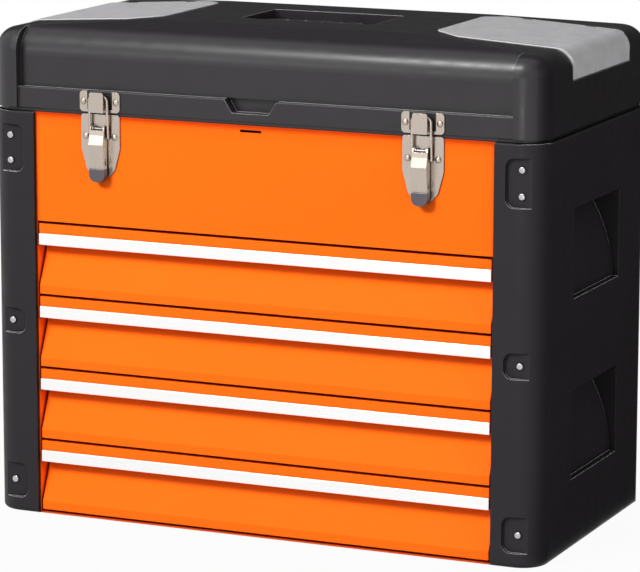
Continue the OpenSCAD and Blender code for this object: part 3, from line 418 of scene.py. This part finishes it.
WHITE = (1, 1, 1, 1)
AMBIENT = 0.11                         # light of the white surroundings on the box
FLOOR_GREY = (0.32, 0.32, 0.32, 1)
FLOOR_REACH = 14.0
SHADOW_NEAR, SHADOW_FAR = 0.25, 1.0    # the floor's shadows fade out between these distances
FLOOR_GLOW = 0.955                     # share of plain white in the floor near the box
CARD_BLACK = (0.02, 0.02, 0.02, 1)


def is_seen(tree):
    """1 for rays from the camera and for those that metal and glass send on, 0 for lighting."""
    path = tree.nodes.new("ShaderNodeLightPath")
    total = path.outputs["Is Camera Ray"]
    for name in ("Is Glossy Ray", "Is Transmission Ray"):
        larger = tree.nodes.new("ShaderNodeMath")
        larger.operation = "MAXIMUM"
        tree.links.new(total, larger.inputs[0])
        tree.links.new(path.outputs[name], larger.inputs[1])
        total = larger.outputs["Value"]
    return total


def white_world():
    """White surroundings where they are seen, and a faint even light where they only light."""
    world = bpy.data.worlds.new("white_studio")
    bpy.context.scene.world = world
    world.use_nodes = True
    tree = world.node_tree
    strength = tree.nodes.new("ShaderNodeMapRange")
    tree.links.new(is_seen(tree), strength.inputs["Value"])
    strength.inputs["To Min"].default_value = AMBIENT
    strength.inputs["To Max"].default_value = 1.0
    tree.nodes["Background"].inputs["Color"].default_value = WHITE
    tree.links.new(strength.outputs["Result"], tree.nodes["Background"].inputs["Strength"])


def stage_panel(name, low, high, material):
    """A flat rectangle of the studio, between two corners that share one coordinate."""
    across, up = [axis for axis in range(3) if low[axis] != high[axis]]
    corners = [list(low) for _ in range(4)]
    corners[1][across] = corners[2][across] = high[across]
    corners[2][up] = corners[3][up] = high[up]
    mesh = bpy.data.meshes.new(name)
    built = bmesh.new()
    built.faces.new([built.verts.new(corner) for corner in corners])
    built.to_mesh(mesh)
    built.free()
    panel = bpy.data.objects.new(name, mesh)
    mesh.materials.append(material)
    bpy.context.scene.collection.objects.link(panel)
    return panel


def pale_floor():
    """White floor that keeps a soft shadow near the box and fades out into the background."""
    material = bpy.data.materials.new("pale_floor")
    material.use_nodes = True
    tree = material.node_tree
    shader = tree.nodes["Principled BSDF"]
    shader.inputs["Base Color"].default_value = FLOOR_GREY
    shader.inputs["Roughness"].default_value = 0.9
    shader.inputs["Specular IOR Level"].default_value = 0.0
    distance = tree.nodes.new("ShaderNodeVectorMath")
    distance.operation = "LENGTH"
    tree.links.new(tree.nodes.new("ShaderNodeTexCoord").outputs["Object"], distance.inputs[0])
    fade = tree.nodes.new("ShaderNodeMapRange")
    fade.interpolation_type = "SMOOTHSTEP"
    tree.links.new(distance.outputs["Value"], fade.inputs["Value"])
    for key, value in (("From Min", SHADOW_NEAR), ("From Max", SHADOW_FAR),
                       ("To Min", FLOOR_GLOW), ("To Max", 1.0)):
        fade.inputs[key].default_value = value
    share = tree.nodes.new("ShaderNodeMath")
    share.operation = "MULTIPLY"
    tree.links.new(fade.outputs["Result"], share.inputs[0])
    tree.links.new(is_seen(tree), share.inputs[1])
    glow = tree.nodes.new("ShaderNodeEmission")
    glow.inputs["Color"].default_value = WHITE
    glow.inputs["Strength"].default_value = 1.0
    mix = tree.nodes.new("ShaderNodeMixShader")
    tree.links.new(share.outputs["Value"], mix.inputs[0])
    tree.links.new(shader.outputs[0], mix.inputs[1])
    tree.links.new(glow.outputs[0], mix.inputs[2])
    tree.links.new(mix.outputs[0], tree.nodes["Material Output"].inputs["Surface"])
    stage_panel("floor", (-FLOOR_REACH, -FLOOR_REACH, 0), (FLOOR_REACH, FLOOR_REACH, 0), material)


def dark_cards():
    """Dark cards behind and beside the box, seen only in its reflections. Low down behind it and
    at its left they leave the background white."""
    material = bpy.data.materials.new("dark_card")
    material.use_nodes = True
    shader = material.node_tree.nodes["Principled BSDF"]
    shader.inputs["Base Color"].default_value = CARD_BLACK
    rear, right, far_side, horizon = 1.7, 1.6, 4, 0.45
    box_right, box_front, on_floor = 0.263, -0.16, 2 * MM
    for name, low, high in (
            ("card_behind", (-far_side, rear, horizon), (far_side, rear, 5)),
            ("card_behind_right", (0.32, rear, 0), (far_side, rear, horizon)),
            ("card_right", (right, -0.9, 0), (right, rear, 3.4)),
            ("card_on_floor", (box_right, box_front, on_floor), (right, rear, on_floor))):
        card = stage_panel(name, low, high, material)
        card.visible_camera = card.visible_diffuse = card.visible_shadow = False
        card.visible_transmission = False


def lamp(name, place, aim, size, watts, reflected=True, lights=True):
    """A soft box. One that is not reflected only lights, and one that lights nothing only shows
    as a highlight."""
    light = bpy.data.lights.new(name, "AREA")
    light.shape = "RECTANGLE"
    light.size, light.size_y = size
    light.energy = watts
    holder = bpy.data.objects.new(name, light)
    holder.location = place
    holder.rotation_euler = (Vector(aim) - Vector(place)).to_track_quat("-Z", "Y").to_euler()
    holder.visible_glossy = reflected
    holder.visible_diffuse = lights
    holder.visible_camera = False
    bpy.context.scene.collection.objects.link(holder)


def soft_boxes():
    """The lamps: four that light the box, and three that show as highlights on the lid's
    shoulder, the latches and the lid's right pillar."""
    middle, shoulder = (0, 0, 0.22), (0.1, -0.1, 0.42)
    latches, pillar = (0, -0.14, 0.3), (0.25, -0.14, 0.4)
    lamp("key", (-0.95, -2.5, 2.05), middle, size=(1.0, 0.9), watts=130, reflected=False)
    lamp("shoulder_light", (-0.62, -1.8, 2.66), shoulder, size=(0.3, 0.3), watts=52, lights=False)
    lamp("latch_light", (-1.03, -2.3, 1.1), latches, size=(1.1, 0.5), watts=5, lights=False)
    lamp("pillar_light", (0.25, -1.25, 0.2), pillar, size=(0.12, 0.36), watts=0.9, lights=False)
    lamp("front_fill", (0.8, -3.2, 1.2), middle, size=(2.0, 1.4), watts=10, reflected=False)
    lamp("right_fill", (3.0, -0.8, 1.4), middle, size=(1.6, 1.4), watts=52, reflected=False)
    lamp("rear_fill", (-1.2, 2.8, 1.0), middle, size=(2.0, 1.4), watts=66, reflected=False)


white_world()
pale_floor()
dark_cards()
soft_boxes()


# ---------- camera ----------

AZIMUTH, ELEVATION, ROLL = math.radians(23.79), math.radians(10.99), math.radians(0.09)
AIM = Vector((0.0573, -0.1342, 0.2281))
DISTANCE = 3.04
LENS, SENSOR = 200.6, 36.0             # millimetres
FARTHEST = 60


def set_camera():
    """A long lens right of the front and a little above the box."""
    back = Vector((math.sin(AZIMUTH) * math.cos(ELEVATION),
                   -math.cos(AZIMUTH) * math.cos(ELEVATION),
                   math.sin(ELEVATION)))
    camera = bpy.data.cameras.new("camera")
    camera.sensor_width = SENSOR
    camera.lens = LENS
    camera.clip_end = FARTHEST
    holder = bpy.data.objects.new("camera", camera)
    holder.location = AIM + back * DISTANCE
    level = (-back).to_track_quat("-Z", "Y").to_matrix().to_4x4()
    holder.rotation_euler = (level @ Matrix.Rotation(ROLL, 4, "Z")).to_euler()
    bpy.context.scene.collection.objects.link(holder)
    bpy.context.scene.camera = holder


set_camera()
bpy.context.scene.view_settings.view_transform = "Standard"
